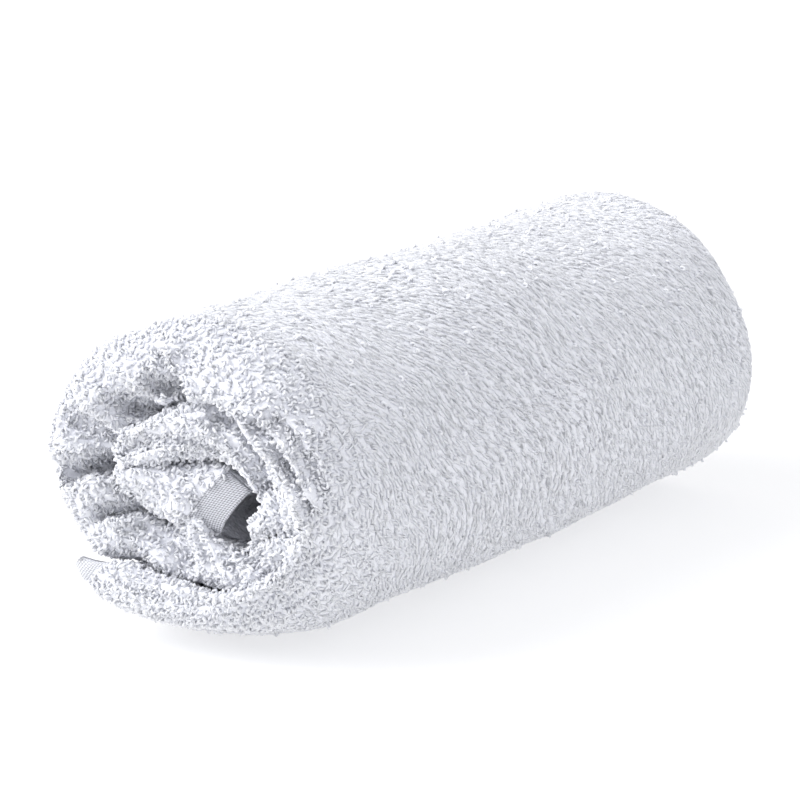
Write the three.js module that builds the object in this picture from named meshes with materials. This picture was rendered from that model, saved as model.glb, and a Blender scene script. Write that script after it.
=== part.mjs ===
// Rolled terry hand towel. It is folded both ways to a band of four layers and wound up from one
// short side. Millimetres, +Z up. The roll lies along Y, and the end that shows the winding points
// at -Y. Angles are measured in that end's plane, from +X over +Z.

import * as THREE from "three";

// The roll as a whole
const ROLL_LENGTH = 232;
const AXIS_HEIGHT = 46.5;
const FAR_FLARE_X = 1.05;
const FAR_FLARE_Z = 1.062;

// Each end leans: its +X side or its top lies this much further along Y at the roll's outside
const NEAR_END = { lean_x: 4.3, lean_z: 1.9 };
const FAR_END = { lean_x: 0.6, lean_z: -7.4 };

// Towards the end that shows the roll narrows and lifts, its underside more than its top
const TAPER = { length: 42, narrowing: 0.055, underside_lift: 12, top_lift: 3.5, top: 93 };

// The winding, a row for each place along the folded band from its loose end inwards.
// angle: direction from the centre of that turn. outer: distance from there to the band's outside.
// thick: thickness of the band. x, z: where that centre lies, from the roll's axis.
// inset: how far the band's edge lies behind the end's plane. steps: divisions up to the next row.
const WINDING = [
  { angle: 226, outer: 51.5, thick: 11.5, x: 0, z: 0, inset: 0, steps: 2 },
  { angle: 240, outer: 49.6, thick: 16.6, x: 0, z: 0, inset: 0, steps: 2 },
  { angle: 255, outer: 48.2, thick: 17.8, x: 0, z: 0, inset: 0, steps: 2 },
  { angle: 270, outer: 47.3, thick: 18.8, x: 0, z: 0, inset: 0, steps: 3 },
  { angle: 290, outer: 47.6, thick: 16.8, x: 0, z: 0, inset: 0, steps: 4 },
  { angle: 320, outer: 48.6, thick: 12.2, x: 0, z: 0, inset: 0, steps: 5 },
  { angle: 360, outer: 48.8, thick: 12.2, x: 0, z: 0, inset: 0, steps: 5 },
  { angle: 400, outer: 48.2, thick: 13.4, x: 0, z: 0, inset: 0, steps: 6 },
  { angle: 450, outer: 47.4, thick: 17.9, x: 0, z: 0, inset: 0, steps: 8 },
  { angle: 490, outer: 48.8, thick: 22.8, x: 0, z: 0, inset: 0, steps: 9 },
  { angle: 535, outer: 49.4, thick: 22.2, x: 0, z: 0, inset: 1, steps: 5 },
  { angle: 560, outer: 45.4, thick: 23.2, x: 0, z: 0, inset: 1.5, steps: 3 },
  { angle: 575, outer: 40.4, thick: 20.3, x: 0, z: 0, inset: 3, steps: 3 },
  { angle: 595, outer: 33.6, thick: 17.6, x: 0, z: 0, inset: 6, steps: 4 },
  { angle: 620, outer: 28.2, thick: 15.4, x: 0, z: 0, inset: 8, steps: 4 },
  { angle: 650, outer: 28.6, thick: 13.8, x: 0, z: 0, inset: 7, steps: 4 },
  { angle: 685, outer: 34.6, thick: 11.4, x: 0, z: 0, inset: 6, steps: 4 },
  { angle: 720, outer: 35.5, thick: 11.2, x: 0, z: 0, inset: 5, steps: 4 },
  { angle: 760, outer: 33.4, thick: 13.0, x: 0, z: 0, inset: 5, steps: 4 },
  { angle: 800, outer: 27.0, thick: 17.2, x: 0, z: 0, inset: 5, steps: 4 },
  { angle: 830, outer: 18.2, thick: 15.6, x: -5, z: 5.5, inset: 5, steps: 4 },
  { angle: 870, outer: 14.6, thick: 13.0, x: -8, z: 6.5, inset: 4, steps: 3 },
  { angle: 910, outer: 16.0, thick: 14.4, x: -9, z: 6.5, inset: 3, steps: 3 },
  { angle: 950, outer: 16.6, thick: 15.0, x: -8.5, z: 6.5, inset: 3, steps: 3 },
  { angle: 985, outer: 16.8, thick: 15.2, x: -5, z: 6.8, inset: 3, steps: 3 },
  { angle: 988, outer: 16.6, thick: 15.0, x: 6, z: 6, inset: 4, steps: 2 },
  { angle: 974, outer: 15.2, thick: 13.8, x: 18, z: 5, inset: 5, steps: 0 },
];

// Creases where the inside of the outer turn crumples towards the end that shows
const CREASES = [
  { angle: 445, reach: 4, half_width: 8 },
  { angle: 474, reach: 8, half_width: 9 },
  { angle: 535, reach: 8, half_width: 8 },
  { angle: 562, reach: 7, half_width: 8 },
];
const CREASE_LENGTH = 30;

// Soft dents in the outside, a row for each wave. around: waves in a full turn.
// along: waves in the roll's length.
const DENTS = [
  { around: 3, along: 1.3, phase: 0.4, height: 0.35 },
  { around: 5, along: -2.1, phase: 2.1, height: 0.3 },
  { around: 2, along: 3.4, phase: 1.2, height: 0.3 },
];

// The band's folded edges are round. The first of their steps is where the flat cap starts.
const EDGE_DEPTH = 7.5;
const EDGE_STEPS = 4;
const EDGE_START = THREE.MathUtils.degToRad(20);
const MIDDLE_STEPS = 14;
const TIP_STEPS = 3;
const FULL_TURN = 360;

/** Catmull-Rom value between b and c, with neighbours a and d. */
function smoothValue(a, b, c, d, t) {
  const slopeB = (c - a) / 2;
  const slopeC = (d - b) / 2;
  const rise = c - b;
  return b + t * (slopeB + t * (3 * rise - 2 * slopeB - slopeC + t * (slopeB + slopeC - 2 * rise)));
}

/** The winding table, sampled: every column at every step from the loose end to the core. */
function sampleWinding() {
  const samples = [];
  const last = WINDING.length - 1;
  WINDING.slice(0, last).forEach((row, index) => {
    const before = WINDING[Math.max(index - 1, 0)];
    const next = WINDING[index + 1];
    const after = WINDING[Math.min(index + 2, last)];
    for (let step = 0; step < row.steps; step += 1) {
      const t = step / row.steps;
      const sample = {};
      for (const column of ["angle", "outer", "thick", "x", "z", "inset"]) {
        sample[column] = smoothValue(before[column], row[column], next[column], after[column], t);
      }
      samples.push(sample);
    }
  });
  samples.push(WINDING[last]);
  return samples;
}

/** How far the creases cut into the band's inside at this angle and depth from the near end. */
function creaseReach(angle, depth) {
  const fade = Math.exp(-((depth / CREASE_LENGTH) ** 2));
  return CREASES.reduce((sum, crease) => {
    const offset = (angle - crease.angle) / crease.half_width;
    return sum + crease.reach * fade * Math.exp(-offset * offset);
  }, 0);
}

/** Height of the soft dents on the outside of the roll. */
function dentHeight(angle, share) {
  const turn = THREE.MathUtils.degToRad(angle);
  return DENTS.reduce(
    (sum, dent) =>
      sum + dent.height * Math.sin(dent.around * turn + 2 * Math.PI * dent.along * share + dent.phase),
    0,
  );
}

/** Slices along the roll: share of its length, distance from each end, thickness share. */
function sliceTable() {
  const edge = [];
  for (let step = 0; step <= EDGE_STEPS; step += 1) {
    const turn = THREE.MathUtils.lerp(EDGE_START, Math.PI / 2, step / EDGE_STEPS);
    edge.push({ depth: EDGE_DEPTH * (1 - Math.cos(turn)), fullness: Math.sin(turn) });
  }
  const slices = edge.map(({ depth, fullness }) => ({ share: 0, offset: depth, fullness }));
  for (let step = 1; step < MIDDLE_STEPS; step += 1) {
    const share = step / MIDDLE_STEPS;
    slices.push({ share, offset: EDGE_DEPTH * (1 - 2 * share), fullness: 1 });
  }
  edge.reverse();
  edge.forEach(({ depth, fullness }) => slices.push({ share: 1, offset: -depth, fullness }));
  return slices;
}

/** Distance of a slice from the end that shows. */
function depthOf(slice) {
  return slice.offset + slice.share * ROLL_LENGTH;
}

/** Places a point of the section, given from the roll's axis, in the slice. */
function placePoint(x, z, inset, slice) {
  const flareX = THREE.MathUtils.lerp(1, FAR_FLARE_X, slice.share);
  const flareZ = THREE.MathUtils.lerp(1, FAR_FLARE_Z, slice.share);
  const acrossX = x / AXIS_HEIGHT;
  const acrossZ = z / AXIS_HEIGHT;
  const near = -ROLL_LENGTH / 2 + NEAR_END.lean_x * acrossX + NEAR_END.lean_z * acrossZ + inset;
  const far = ROLL_LENGTH / 2 + FAR_END.lean_x * acrossX + FAR_END.lean_z * acrossZ + inset / 3;
  const y = THREE.MathUtils.lerp(near, far, slice.share) + slice.offset;
  const height = Math.max((AXIS_HEIGHT + z) * flareZ, 0);
  const taper = Math.max(1 - depthOf(slice) / TAPER.length, 0) ** 2;
  const lift = THREE.MathUtils.lerp(TAPER.underside_lift, TAPER.top_lift, height / TAPER.top);
  return new THREE.Vector3(x * flareX * (1 - TAPER.narrowing * taper), y, height + lift * taper);
}

/** Half circle that closes the band's end, from one face of the band round to the other. */
function roundTip(from, to, inset, slice) {
  const middle = from.clone().add(to).multiplyScalar(0.5);
  const arm = from.clone().sub(middle);
  const points = [];
  for (let step = 1; step < TIP_STEPS + 1; step += 1) {
    const turn = (Math.PI * step) / (TIP_STEPS + 1);
    const point = arm.clone().rotateAround(new THREE.Vector2(), turn).add(middle);
    points.push(placePoint(point.x, point.y, inset, slice));
  }
  return points;
}

/** One closed outline of the band: outside, core end, inside and loose end. */
function sectionAt(samples, slice) {
  const faces = samples.map((sample) => {
    const turn = THREE.MathUtils.degToRad(sample.angle);
    const direction = new THREE.Vector2(Math.cos(turn), Math.sin(turn));
    const centre = new THREE.Vector2(sample.x, sample.z);
    const onOutside = sample.angle < WINDING[0].angle + FULL_TURN;
    const crease = creaseReach(sample.angle, depthOf(slice));
    const outer = sample.outer + (onOutside ? dentHeight(sample.angle, slice.share) : 0);
    const inner = sample.outer - sample.thick + crease;
    const middle = (outer + inner) / 2;
    const half = ((outer - inner) / 2) * slice.fullness;
    return {
      outside: centre.clone().addScaledVector(direction, middle + half),
      inside: centre.clone().addScaledVector(direction, middle - half),
      inset: sample.inset,
    };
  });
  const loose = faces[0];
  const core = faces[faces.length - 1];
  const outside = faces.map((face) => placePoint(face.outside.x, face.outside.y, face.inset, slice));
  const inside = faces.map((face) => placePoint(face.inside.x, face.inside.y, face.inset, slice));
  return [
    ...outside,
    ...roundTip(core.outside, core.inside, core.inset, slice),
    ...inside.reverse(),
    ...roundTip(loose.inside, loose.outside, loose.inset, slice),
  ];
}

/** Closed solid through sections of equal length, with a cap on the first and the last. */
function loftSections(sections) {
  const count = sections[0].length;
  const positions = sections.flat().flatMap((point) => point.toArray());
  const indices = [];
  for (let row = 0; row < sections.length - 1; row += 1) {
    for (let column = 0; column < count; column += 1) {
      const here = row * count + column;
      const beside = row * count + ((column + 1) % count);
      indices.push(here, beside + count, beside, here, here + count, beside + count);
    }
  }
  const cap = (section, base, turned) => {
    const outline = section.map((point) => new THREE.Vector2(point.x, point.z));
    for (const [a, b, c] of THREE.ShapeUtils.triangulateShape(outline, [])) {
      indices.push(base + a, base + (turned ? c : b), base + (turned ? b : c));
    }
  };
  cap(sections[0], 0, false);
  cap(sections[sections.length - 1], (sections.length - 1) * count, true);
  const geometry = new THREE.BufferGeometry();
  geometry.setAttribute("position", new THREE.Float32BufferAttribute(positions, 3));
  geometry.setIndex(indices);
  geometry.computeVertexNormals();
  return geometry;
}

/** Moves a geometry so that the middle of its box's bottom face is the origin. */
function standOnOrigin(geometry) {
  geometry.computeBoundingBox();
  const centre = geometry.boundingBox.getCenter(new THREE.Vector3());
  return geometry.translate(-centre.x, -centre.y, -geometry.boundingBox.min.z);
}

/** White cotton terry. */
function terryMaterial() {
  return new THREE.MeshStandardMaterial({ color: 0xeeeff5, roughness: 1, metalness: 0 });
}

function buildTowelRoll() {
  const samples = sampleWinding();
  const sections = sliceTable().map((slice) => sectionAt(samples, slice));
  const roll = new THREE.Mesh(standOnOrigin(loftSections(sections)), terryMaterial());
  roll.name = "towel_roll";
  return roll;
}

const rolledTowel = new THREE.Group();
rolledTowel.name = "rolled_hand_towel";
rolledTowel.add(buildTowelRoll());

export default rolledTowel;
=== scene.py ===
"""Looks of a rolled terry hand towel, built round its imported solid.

The towel is white cotton terry, folded both ways to a band of four layers and wound up from one
short side. The roll lies along Y, and the end that shows the winding points at -Y. The band is
modelled as its two faces with the folded layers at its edges, and its pile as thousands of
separate loops of yarn. Sizes are millimetres until a mesh is made.
"""

import logging
import math
from dataclasses import dataclass, field
from enum import Enum, IntEnum
from typing import NamedTuple

import bpy
import numpy as np
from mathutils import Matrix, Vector
from mathutils.bvhtree import BVHTree

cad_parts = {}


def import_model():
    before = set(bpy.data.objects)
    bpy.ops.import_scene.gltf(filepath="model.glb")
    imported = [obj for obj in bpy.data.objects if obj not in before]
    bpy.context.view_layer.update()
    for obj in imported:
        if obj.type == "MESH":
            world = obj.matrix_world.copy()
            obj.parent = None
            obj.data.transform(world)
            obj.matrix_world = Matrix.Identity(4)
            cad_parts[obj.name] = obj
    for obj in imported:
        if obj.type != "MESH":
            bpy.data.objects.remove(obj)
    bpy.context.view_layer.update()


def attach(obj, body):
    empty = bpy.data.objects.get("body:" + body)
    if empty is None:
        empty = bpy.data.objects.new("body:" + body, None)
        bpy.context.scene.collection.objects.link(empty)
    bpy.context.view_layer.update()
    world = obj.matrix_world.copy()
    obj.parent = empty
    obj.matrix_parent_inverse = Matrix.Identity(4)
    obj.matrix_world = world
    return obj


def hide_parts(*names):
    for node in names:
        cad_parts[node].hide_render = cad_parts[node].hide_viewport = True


MM = 0.001
BODY = "root"
CAD_NODE = "towel_roll"
CLOTH_UV = "cloth"
LOG = logging.getLogger("rolled_hand_towel")

FULL_TURN = 360.0
TINY = 1e-9

# How far behind the near edge the crumples open the band, how far they sink it, and the folds' reach
CRUMPLE_LENGTH = 30.0
SINK_LENGTH = 16.0
FOLD_LENGTH = 16.0

# How much longer and shorter than its typical length a wave of the soft noise may be
WAVE_SPREAD = (0.7, 1.4)

# The sockets of a Mix node that take and give colours, which share their names with others
MIX_A = 6
MIX_B = 7
MIX_RESULT = 2


class Turn(NamedTuple):
    """One place along the folded band, from its loose end inwards.

    angle is the direction from the centre of that turn, in degrees from +X over +Z. outer is the
    distance from there to the band's outside and thick its thickness. x and z give that centre
    from the roll's axis. inset is how far the band's edge lies behind the end's plane. front is
    where that edge comes furthest forward, from -1 at the band's inside to 1 at its outside.
    round_out and round_in are how deep the edge rounds on either side of it, and groove is how deep
    the line between the edge's two folds is.
    """

    angle: float
    outer: float
    thick: float
    x: float
    z: float
    inset: float
    front: float
    round_out: float
    round_in: float
    groove: float


WINDING = (
    Turn(224.5, 50.2, 6.8, 0, 0, 0, 0.0, 2.5, 2.5, 0.0),
    Turn(228, 52.0, 11.3, 0, 0, 0, 0.1, 4.0, 4.0, 0.0),
    Turn(234, 51.8, 15.6, 0, 0, 0, 0.2, 6.0, 5.0, 0.0),
    Turn(242, 50.4, 16.8, 0, 0, 0, 0.2, 7.0, 5.5, 0.5),
    Turn(255, 47.9, 15.2, 0, 0, 0, 0.2, 7.5, 5.5, 1.0),
    Turn(270, 46.4, 14.8, 0, 0, 0, 0.1, 8.0, 5.0, 1.0),
    Turn(285, 46.4, 12.8, 0, 0, 0, -0.1, 8.0, 4.5, 1.0),
    Turn(300, 47.4, 9.6, 0, 0, 0, -0.3, 9.0, 4.0, 0.5),
    Turn(320, 48.0, 6.0, 0, 0, 0, -0.3, 10.0, 4.0, 0.0),
    Turn(332, 48.4, 6.4, 0, 0, 0, 0.0, 7.0, 4.5, 0.0),
    Turn(345, 48.8, 12.6, 0, 0, 0, 0.6, 4.5, 6.5, 0.5),
    Turn(360, 48.9, 17.6, 0, 0, 0, 0.4, 5.0, 7.0, 0.5),
    Turn(376, 48.8, 19.6, 0, 0, 0, 0.0, 8.0, 6.0, 0.5),
    Turn(390, 48.6, 19.6, 0, 0, 0, -0.5, 12.0, 5.0, 0.0),
    Turn(403, 48.6, 17.8, 0, 0, 0, -0.8, 16.0, 4.0, 0.0),
    Turn(422, 48.8, 22.0, 0, 0, 0, -0.9, 19.0, 3.5, 0.0),
    Turn(437, 48.8, 24.2, 0, 0, 0, -0.8, 19.0, 4.0, 0.0),
    Turn(455, 48.9, 25.4, 0, 0, 0, -0.5, 17.0, 6.0, 0.0),
    Turn(475, 49.2, 27.2, 0, 0, 0, -0.3, 15.0, 7.0, 0.0),
    Turn(490, 49.8, 28.0, 0, 0, 0, -0.2, 14.0, 8.0, 0.0),
    Turn(515, 50.8, 28.2, 0, 0, 0.5, 0.0, 12.0, 8.0, 0.0),
    Turn(535, 51.2, 26.6, 0, 0, 1, 0.1, 11.0, 8.0, 0.0),
    Turn(560, 48.4, 26.4, 0, 0, 1.5, 0.1, 10.0, 8.0, 0.0),
    Turn(574, 45.6, 24.6, 0, 0, 1.5, 0.0, 9.0, 8.0, 0.5),
    Turn(583, 43.6, 21.6, 0, 0, 2, 0.0, 8.0, 8.0, 0.5),
    Turn(591, 39.2, 18.5, 0, 0, 3.5, 0.0, 7.5, 7.0, 1.0),
    Turn(602, 35.2, 17.0, 0, 0, 5.5, 0.0, 7.0, 6.0, 1.0),
    Turn(621, 35.0, 19.0, 0, 0, 5.5, 0.1, 6.0, 4.0, 0.5),
    Turn(639, 35.8, 23.2, 0, 0, 4.5, 0.1, 5.5, 5.0, 0.5),
    Turn(650, 38.4, 23.2, 0, 0, 4, 0.1, 5.5, 6.0, 1.0),
    Turn(661, 40.8, 20.2, 0, 0, 3.5, 0.1, 5.0, 6.0, 1.0),
    Turn(675, 43.0, 16.8, 0, 0, 3.5, 0.1, 5.0, 6.0, 1.0),
    Turn(689, 43.8, 18.2, 0, 0, 3.5, 0.1, 4.0, 6.0, 0.5),
    Turn(705, 39.0, 14.0, 0, 0, 3.5, 0.1, 4.0, 6.0, 0.0),
    Turn(720, 32.6, 10.6, 0, 0, 4, 0.0, 4.0, 5.0, 0.0),
    Turn(736, 30.6, 14.6, 0, 0, 4.5, -0.1, 5.0, 5.0, 0.5),
    Turn(750, 30.8, 18.4, 0, 0, 4.5, -0.2, 6.0, 5.0, 0.5),
    Turn(762, 31.4, 21.6, 0, 0, 3.5, -0.1, 7.0, 5.0, 0.5),
    Turn(782, 27.8, 21.4, 0, 0, 2.5, -0.2, 9.0, 5.0, 0.5),
    Turn(798, 26.0, 21.3, 0, 0, 2, -0.3, 11.0, 5.0, 0.5),
    Turn(808, 20.4, 20.4, -4.2, 4.4, 1.8, -0.3, 11.0, 5.0, 0.5),
    Turn(816, 18.6, 19.2, -9, 3.2, 1.6, -0.2, 10.0, 5.0, 0.5),
    Turn(827, 15.2, 16.2, -14, 2.2, 1.5, -0.1, 8.0, 5.0, 0.0),
    Turn(838, 11.6, 12.6, -18, 0.9, 1.5, 0.0, 6.0, 4.0, 0.0),
    Turn(864, 9.0, 10.0, -19.5, 0.2, 1.5, 0.0, 4.0, 3.0, 0.0),
    Turn(903, 8.8, 9.8, -20, -0.6, 1.5, 0.0, 4.0, 3.0, 0.0),
    Turn(942, 9.2, 10.2, -19, -1.2, 2, 0.0, 4.0, 3.0, 0.0),
    Turn(975, 12.4, 13.4, -15, 0.2, 2.5, 0.1, 5.0, 5.0, 0.0),
    Turn(985, 18.2, 19.2, -9, 2.1, 3, 0.4, 5.0, 9.0, 0.0),
    Turn(986, 21.8, 22.4, -2, 4.2, 3.5, 0.4, 5.0, 10.0, 0.0),
    Turn(971, 22.8, 22.8, 5.5, 5.3, 4.5, 0.4, 5.0, 9.0, 0.0),
    Turn(956.6, 23.4, 23.4, 11.6, 2.6, 6, 0.3, 4.0, 5.0, 0.0),
    Turn(955.6, 20.6, 20.6, 20.2, -2.4, 8, 0.1, 2.5, 2.5, 0.0),
)


class Crumple(NamedTuple):
    """A fold that runs across the band's near edge, from its inside to its outside.

    Both angles say where it lies there. width is its half width in degrees. inner_depth and
    outer_depth are how far it sinks back on either side, and reach how far it opens the band's
    inside outwards, or swells it inwards where that is below 0.
    """

    inner_angle: float
    outer_angle: float
    width: float
    inner_depth: float
    outer_depth: float
    reach: float


CRUMPLES = (
    Crumple(453, 446, 7, 4.0, 0.0, 3.0),
    Crumple(466, 470, 7, 0.0, 0.0, -1.0),
    Crumple(487, 500, 7, 5.0, 1.5, 4.0),
    Crumple(516, 518, 14, 7.0, 0.0, -1.5),
    Crumple(540, 546, 4.5, 12.0, 1.0, 7.0),
    Crumple(555, 556, 7, 0.0, 0.0, -2.0),
    Crumple(571, 575, 6, 6.0, 1.0, 4.0),
    Crumple(694, 694, 7, 0.0, 0.0, -2.5),
)


class Fold(NamedTuple):
    """A soft trough or ridge across the end's plane.

    line is its run in that plane, as places to the right of the roll's axis and above it. width is
    its half width, and depth how far it sinks into the end, below 0 for a ridge.
    """

    line: tuple[tuple[float, float], ...]
    width: float
    depth: float


FOLDS = (
    Fold(((-9, 27), (-5, 28), (0, 26.5)), 2.6, 9.0),
    Fold(((-22, 18.6), (-18, 17.6), (-13.5, 19.2)), 2.4, 8.0),
    Fold(((-34, 15), (-30, 12), (-27, 8), (-22, 7)), 1.6, 5.0),
    Fold(((-33, 17), (-29, 14.5), (-25, 11.5), (-21, 8)), 1.6, -2.5),
    Fold(((-42, -6), (-36, -3), (-29, 0), (-26, -0.5)), 2.4, 9.0),
    Fold(((-38, 12), (-32, 8.5), (-28, 5)), 4.0, 4.0),
    Fold(((-30, -16.5), (-25.5, -13.8), (-18, -10.5)), 2.4, 5.5),
    Fold(((-28.8, -19.5), (-23.5, -18.5), (-16, -15.5), (-9, -16)), 1.4, -1.8),
    Fold(((-16, -17), (-9, -21), (-3, -28)), 4.5, 5.0),
    Fold(((-25, -7.5), (-17, -12.5), (-9, -17), (-4, -19), (-1.5, -25), (3, -29)), 1.6, 3.0),
    Fold(((-7, 38), (-5, 34), (-4, 30.5)), 1.5, 2.8),
    Fold(((-4, 39), (-2, 34), (0, 30), (6, 26.5)), 1.4, -1.6),
    Fold(((-34, 16), (-27, 24), (-22, 23), (-15, 25), (-8, 32)), 2.2, -1.8),
    Fold(((-25, 19), (-18, 20.5), (-11, 25)), 4.0, 3.0),
    Fold(((14, 27), (24, 23), (30, 16), (38, 8), (42, 3), (45, -3), (47, -10), (48, -15)), 1.6, -3.2),
    Fold(((49, -12), (45, -19), (38, -26), (30, -32)), 1.6, -1.8),
    Fold(((53, -14), (49, -22), (42, -30), (33, -36)), 1.8, 2.0),
    Fold(((29, 20), (34, 17), (38, 12), (41, 7), (44, 3), (47, -3)), 1.3, 4.5),
    Fold(((25, 26), (31, 23), (36, 17), (40, 14), (43, 9), (46, 3), (49, -1), (51, -6)), 1.4, -2.4),
    Fold(((33, 23), (40, 17), (44, 12), (47, 6), (50, 1), (53, -3)), 1.5, 3.5),
    Fold(((12, 19.5), (19, 18), (23.3, 12.8), (26, 8), (27.7, 0.8)), 2.6, 5.0),
    Fold(((-17, 11), (-8, 16), (3, 17), (10, 15)), 1.5, -1.6),
    Fold(((-20, 4), (-12, 8), (-4, 10.5), (5, 11), (11, 9)), 1.4, 2.8),
    Fold(((9, 14), (16, 9), (22, 3), (25, -1.5)), 1.4, -1.8),
    Fold(((22, -18), (29, -14.5), (39.4, -11.6)), 1.6, 4.0),
    Fold(((4, -18), (8, -24), (12, -31)), 1.3, 2.2),
    Fold(((13, -20), (16, -25), (21, -30)), 1.3, 2.2),
    Fold(((21, -21), (26, -24), (30, -27)), 1.3, 2.2),
)


class Dent(NamedTuple):
    """One wave of the soft dents in the roll's outside.

    around and along are how many waves go round the roll and along it, along below 0 where they run
    the other way. phase shifts them, in radians.
    """

    around: float
    along: float
    phase: float
    height: float


DENTS = (Dent(3, 1.3, 0.4, 0.35), Dent(5, -2.1, 2.1, 0.3), Dent(2, 3.4, 1.2, 0.3))


class Swell(NamedTuple):
    """A broad soft rise of the roll's outside, or a hollow where its height is below 0.

    angle and share say where its middle lies, round the roll in degrees and along its length. turn
    and reach are its half widths in the same two ways.
    """

    angle: float
    share: float
    turn: float
    reach: float
    height: float


SWELLS = (
    Swell(90, 0.46, 45, 0.19, 1.5),
    Swell(90, 0.84, 45, 0.14, -1.0),
    Swell(46, 1.0, 24, 0.25, 1.7),
    Swell(308, 0.5, 18, 0.32, 1.5),
    Swell(232, 0.5, 18, 0.32, 1.5),
)


class Rumple(NamedTuple):
    """Soft unevenness: its height, its waves' typical length, and the seed that chooses them."""

    height: float
    length: float
    seed: int

    def at(self, points: np.ndarray) -> np.ndarray:
        """The unevenness at points."""
        return self.height * waves(points, self.length, self.seed)


class Part(Enum):
    """Which part of the band's outline a point of a section belongs to."""

    NEAR_EDGE = 0
    OUTSIDE = 1
    FAR_EDGE = 2
    INSIDE = 3


class BandFinish(IntEnum):
    """The band's finishes, in the order of its material slots."""

    GROUND = 0
    # The inner hem's woven finish is darkened with painted shade, as that hem lies in the coil's shadow.
    SHADED_INNER_HEM = 1
    LOOSE_HEM = 2


def column(turns: np.ndarray, name: str) -> np.ndarray:
    """One named value of rows of the winding, as a column."""
    return turns[:, Turn._fields.index(name), None]


def bell(*away: np.ndarray) -> np.ndarray:
    """A smooth bell over distances counted in half widths, 1 in its middle."""
    return np.exp(-sum(part**2 for part in away))


def unit(vectors: np.ndarray) -> np.ndarray:
    """Vectors in the same directions with a length of 1."""
    return vectors / np.maximum(np.linalg.norm(vectors, axis=-1, keepdims=True), TINY)


def waves(points: np.ndarray, length: float, seed: int, count: int = 7) -> np.ndarray:
    """Smooth noise made of a few sine waves in seeded directions.

    Args:
        points: where it is read, with X, Y and Z in the last dimension.
        length: the waves' typical length, in the points' unit.
        seed: chooses the waves.
        count: how many waves are added.

    Returns:
        The noise, mostly from -1 to 1.
    """
    random = np.random.default_rng(seed)
    total = np.zeros(points.shape[:-1])
    for _ in range(count):
        way = random.normal(size=3)
        way *= 2 * math.pi / (length * random.uniform(*WAVE_SPREAD) * np.linalg.norm(way))
        total += np.sin(points @ way + random.uniform(0, 2 * math.pi))
    return total / math.sqrt(count)


def normals_of(grid: np.ndarray) -> np.ndarray:
    """Unit normals of a grid of points whose last column joins the first.

    Args:
        grid: points, rows by columns, with X, Y and Z last.

    Returns:
        A normal for each point, to the right of its row.
    """
    along = np.gradient(grid, axis=0)
    across = (np.roll(grid, -1, axis=1) - np.roll(grid, 1, axis=1)) / 2
    return unit(np.cross(across, along))


def tube_quads(index: np.ndarray) -> np.ndarray:
    """Four-sided faces between a grid's vertices, whose last column joins the first."""
    beside = np.roll(index, -1, axis=1)
    return np.stack([index[:-1], beside[:-1], beside[1:], index[1:]], axis=-1).reshape(-1, 4)


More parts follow.
